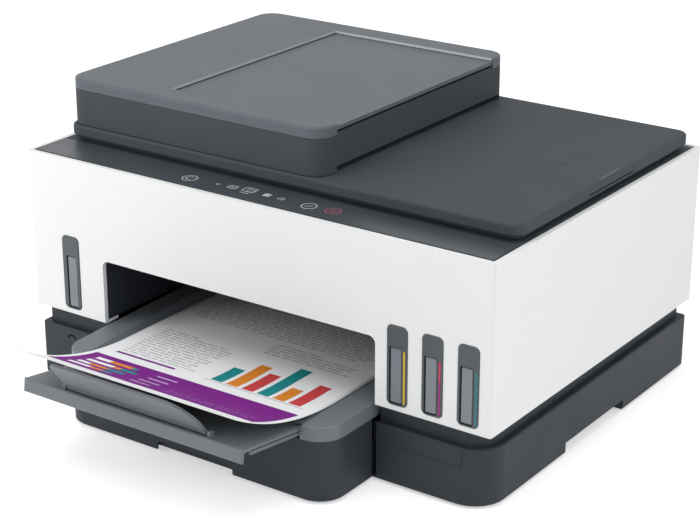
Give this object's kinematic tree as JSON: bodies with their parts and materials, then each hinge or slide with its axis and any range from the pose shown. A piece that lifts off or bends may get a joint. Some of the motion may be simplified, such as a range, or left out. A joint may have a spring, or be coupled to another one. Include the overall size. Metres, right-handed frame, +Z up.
{
  "type": "ink-tank inkjet printer",
  "caption": "White and grey ink-tank inkjet printer with a paper drawer, extended output tray holding a page, hinged scanner, lid and flat document feeder.",
  "frame": {"origin": "on the table, at the middle of the bounding box seen from above", "axes": "+Z up from the table, -Y out of the front where pages leave, +X to the right seen from the front"},
  "size_m": [0.45, 0.4796, 0.2545],
  "materials": {
    "white_shell": "fine-grained white moulded plastic",
    "dark_grey": "fine-grained dark grey moulded plastic",
    "lid_grey": "fine-grained mid-grey moulded plastic",
    "feeder_grey": "fine-grained grey moulded plastic",
    "pale_grey": "smooth pale grey moulded plastic",
    "control_black": "smooth near-black touch strip",
    "bezel_black": "smooth black moulded plastic",
    "ink_black": "clear plastic over black ink",
    "ink_yellow": "clear plastic over yellow ink",
    "ink_magenta": "clear plastic over magenta ink",
    "ink_cyan": "clear plastic over cyan ink",
    "zinc_steel": "zinc-plated sheet and ground steel rod",
    "motor_steel": "plain metal can",
    "black_moulding": "satin black moulded plastic",
    "black_rubber": "matt black rubber",
    "natural_plastic": "natural white gear plastic",
    "board_green": "green circuit board",
    "clear_glass": "clear float glass",
    "white_foam": "white faced foam",
    "white_paper": "matt coated paper"
  },
  "bodies": {
    "printer": {"lower_housing": "dark_grey", "outer_shell": "white_shell", "mouth_liner": "dark_grey", "print_frame": "zinc_steel", "print_bed": "black_moulding", "carriage_rail": "zinc_steel", "drive_belt": "black_rubber", "carriage_motor": "motor_steel", "power_supply": "motor_steel", "main_board": "board_green", "mains_inlet": "black_moulding", "data_ports": "black_moulding", "feet": "black_rubber", "frame_screws": "zinc_steel", "bezel_black": "bezel_black", "bezel_yellow": "bezel_black", "bezel_magenta": "bezel_black", "bezel_cyan": "bezel_black", "ink_tank_black": "ink_black", "ink_tank_yellow": "ink_yellow", "ink_tank_magenta": "ink_magenta", "ink_tank_cyan": "ink_cyan"},
    "tray": {"input_tray": "dark_grey", "output_cover": "dark_grey"},
    "carriage": {"carriage": "black_moulding", "print_heads": "black_moulding"},
    "scanner": {"scanner_deck": "lid_grey", "scan_tub": "lid_grey", "scan_glass": "clear_glass", "scan_rod": "zinc_steel", "control_panel": "control_black"},
    "lid": {"lid": "lid_grey", "lid_pad": "white_foam", "feeder_body": "lid_grey"},
    "sheet": {"printed_sheet": "white_paper"},
    "guide_left": {"guide_left": "dark_grey"},
    "guide_right": {"guide_right": "dark_grey"},
    "extension": {"extension": "pale_grey"},
    "paper_stop": {"paper_stop": "pale_grey"},
    "feed_roller": {"feed_roller": "black_rubber"},
    "eject_roller": {"eject_roller": "black_rubber"},
    "idler_gear": {"idler_gear": "natural_plastic"},
    "pick_roller": {"pick_roller": "black_rubber"},
    "pinch_roller": {"pinch_roller": "black_rubber"},
    "drive_pulley": {"drive_pulley": "natural_plastic"},
    "idler_pulley": {"idler_pulley": "natural_plastic"},
    "rear_door": {"rear_door": "white_shell"},
    "power_button": {"power_button": "black_moulding"},
    "wireless_button": {"wireless_button": "black_moulding"},
    "scan_bar": {"scan_bar": "black_moulding"},
    "document_stop": {"document_stop": "lid_grey"},
    "feeder_cover": {"feeder_cover": "feeder_grey"},
    "feeder_flap": {"feeder_flap": "feeder_grey"},
    "feeder_roller": {"feeder_roller": "black_rubber"},
    "feeder_idler": {"feeder_idler": "black_rubber"},
    "tank_cap_black": {"tank_cap_black": "bezel_black"},
    "tank_cap_yellow": {"tank_cap_yellow": "bezel_black"},
    "tank_cap_magenta": {"tank_cap_magenta": "bezel_black"},
    "tank_cap_cyan": {"tank_cap_cyan": "bezel_black"}
  },
  "joints": [
    {"name": "tray_slide", "type": "slide", "parent": "printer", "child": "tray", "axis": [0, -1, 0], "range_m": [0, 0.15]},
    {"name": "guide_left_slide", "type": "slide", "parent": "tray", "child": "guide_left", "axis": [1, 0, 0], "range_m": [0, 0.05]},
    {"name": "guide_right_slide", "type": "slide", "parent": "tray", "child": "guide_right", "axis": [1, 0, 0], "range_m": [-0.05, 0]},
    {"name": "extension_slide", "type": "slide", "parent": "tray", "child": "extension", "axis": [0, 0.9905, -0.1374], "range_m": [0, 0.06]},
    {"name": "stop_turn", "type": "hinge", "parent": "extension", "child": "paper_stop", "pos_m": [-0.0095, -0.20733, 0.07102], "axis": [1, 0, 0], "range_deg": [0, 45]},
    {"name": "sheet_lift", "type": "slide", "parent": "extension", "child": "sheet", "axis": [0, 0, 1], "range_m": [0, 0.009]},
    {"name": "feed_turn", "type": "hinge", "parent": "printer", "child": "feed_roller", "pos_m": [0, 0.10078, 0.0534], "axis": [1, 0, 0], "continuous": true},
    {"name": "eject_turn", "type": "hinge", "parent": "printer", "child": "eject_roller", "pos_m": [0, 0.06078, 0.0534], "axis": [1, 0, 0], "continuous": true},
    {"name": "idler_turn", "type": "hinge", "parent": "printer", "child": "idler_gear", "pos_m": [0, 0.08078, 0.0534], "axis": [1, 0, 0], "continuous": true},
    {"name": "pick_turn", "type": "hinge", "parent": "printer", "child": "pick_roller", "pos_m": [0, 0.12566, 0.0429], "axis": [1, 0, 0], "continuous": true},
    {"name": "pinch_turn", "type": "hinge", "parent": "printer", "child": "pinch_roller", "pos_m": [0, 0.10078, 0.0666], "axis": [1, 0, 0], "continuous": true},
    {"name": "carriage_slide", "type": "slide", "parent": "printer", "child": "carriage", "axis": [1, 0, 0], "range_m": [-0.298, 0]},
    {"name": "drive_pulley_turn", "type": "hinge", "parent": "printer", "child": "drive_pulley", "pos_m": [-0.175, 0.16078, 0.126], "axis": [0, 0, 1], "range_deg": [-2060, 10]},
    {"name": "idler_pulley_turn", "type": "hinge", "parent": "printer", "child": "idler_pulley", "pos_m": [0.175, 0.16078, 0.126], "axis": [0, 0, 1], "range_deg": [-2060, 10]},
    {"name": "tank_cap_black_turn", "type": "hinge", "parent": "printer", "child": "tank_cap_black", "pos_m": [-0.18115, 0.00878, 0.1423], "axis": [-1, 0, 0], "range_deg": [0, 90]},
    {"name": "tank_cap_yellow_turn", "type": "hinge", "parent": "printer", "child": "tank_cap_yellow", "pos_m": [0.14315, 0.00878, 0.1423], "axis": [-1, 0, 0], "range_deg": [0, 90]},
    {"name": "tank_cap_magenta_turn", "type": "hinge", "parent": "printer", "child": "tank_cap_magenta", "pos_m": [0.17395, 0.00878, 0.1423], "axis": [-1, 0, 0], "range_deg": [0, 90]},
    {"name": "tank_cap_cyan_turn", "type": "hinge", "parent": "printer", "child": "tank_cap_cyan", "pos_m": [0.20475, 0.00878, 0.1423], "axis": [-1, 0, 0], "range_deg": [0, 90]},
    {"name": "rear_door_turn", "type": "hinge", "parent": "printer", "child": "rear_door", "pos_m": [-0.0116, 0.23678, 0.086], "axis": [-1, 0, 0], "range_deg": [0, 70]},
    {"name": "power_button_press", "type": "slide", "parent": "printer", "child": "power_button", "axis": [0, -1, 0], "range_m": [0, 0.002], "stiffness_N_per_m": 400},
    {"name": "wireless_button_press", "type": "slide", "parent": "printer", "child": "wireless_button", "axis": [0, -1, 0], "range_m": [0, 0.002], "stiffness_N_per_m": 400},
    {"name": "scanner_turn", "type": "hinge", "parent": "printer", "child": "scanner", "pos_m": [0, 0.22728, 0.195], "axis": [-1, 0, 0], "range_deg": [0, 30]},
    {"name": "scan_bar_slide", "type": "slide", "parent": "scanner", "child": "scan_bar", "axis": [1, 0, 0], "range_m": [0, 0.33]},
    {"name": "lid_turn", "type": "hinge", "parent": "scanner", "child": "lid", "pos_m": [0, 0.22478, 0.207], "axis": [-1, 0, 0], "range_deg": [0, 65]},
    {"name": "document_stop_slide", "type": "slide", "parent": "lid", "child": "document_stop", "axis": [1, 0, 0], "range_m": [0, 0.035]},
    {"name": "feeder_cover_turn", "type": "hinge", "parent": "lid", "child": "feeder_cover", "pos_m": [-0.2135, 0.09153, 0.2485], "axis": [0, -1, 0], "range_deg": [0, 60]},
    {"name": "feeder_flap_turn", "type": "hinge", "parent": "feeder_cover", "child": "feeder_flap", "pos_m": [-0.1205, 0.09028, 0.2505], "axis": [0, -1, 0], "range_deg": [0, 95]},
    {"name": "feeder_roller_turn", "type": "hinge", "parent": "lid", "child": "feeder_roller", "pos_m": [-0.172, 0.09153, 0.233], "axis": [0, 1, 0], "continuous": true},
    {"name": "feeder_idler_turn", "type": "hinge", "parent": "lid", "child": "feeder_idler", "pos_m": [-0.1562, 0.09153, 0.233], "axis": [0, 1, 0], "continuous": true}
  ],
  "couplings": [
    {"joint": "guide_right_slide", "follows": "guide_left_slide", "ratio": -1},
    {"joint": "sheet_lift", "follows": "extension_slide", "ratio": 0.13744},
    {"joint": "eject_turn", "follows": "feed_turn", "ratio": 1},
    {"joint": "idler_turn", "follows": "feed_turn", "ratio": -1},
    {"joint": "pick_turn", "follows": "feed_turn", "ratio": -0.58824},
    {"joint": "pinch_turn", "follows": "feed_turn", "ratio": -2},
    {"joint": "drive_pulley_turn", "follows": "carriage_slide", "rad_per_m": 120.48},
    {"joint": "idler_pulley_turn", "follows": "carriage_slide", "rad_per_m": 120.48},
    {"joint": "feeder_idler_turn", "follows": "feeder_roller_turn", "ratio": -1.5833}
  ]
}
